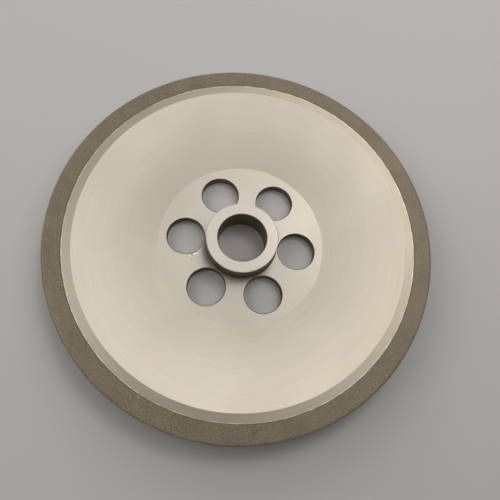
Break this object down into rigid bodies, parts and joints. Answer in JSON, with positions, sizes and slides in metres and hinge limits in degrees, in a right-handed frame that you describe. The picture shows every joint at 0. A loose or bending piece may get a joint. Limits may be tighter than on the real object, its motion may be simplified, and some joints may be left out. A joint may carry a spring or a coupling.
{
  "type": "brazed diamond grinding wheel",
  "caption": "Dished steel grinding wheel with a bored hub, round holes through its web and a ring of brazed diamond grit over the face and edge of its rim.",
  "frame": {"origin": "middle of the back face, on the axis of the bore", "axes": "+Z along the bore's axis, out of the dish; +X and +Y across the wheel, with the middle of the first web hole 113.3 degrees round from +X"},
  "size_m": [0.2, 0.2, 0.0175],
  "materials": {
    "body_steel": "fine turned, satin warm grey",
    "brazed_grit": "matt brown grey, one layer of diamond grit in braze"
  },
  "bodies": {
    "root": {"steel_body": "body_steel", "abrasive_band": "brazed_grit"}
  },
  "joints": []
}
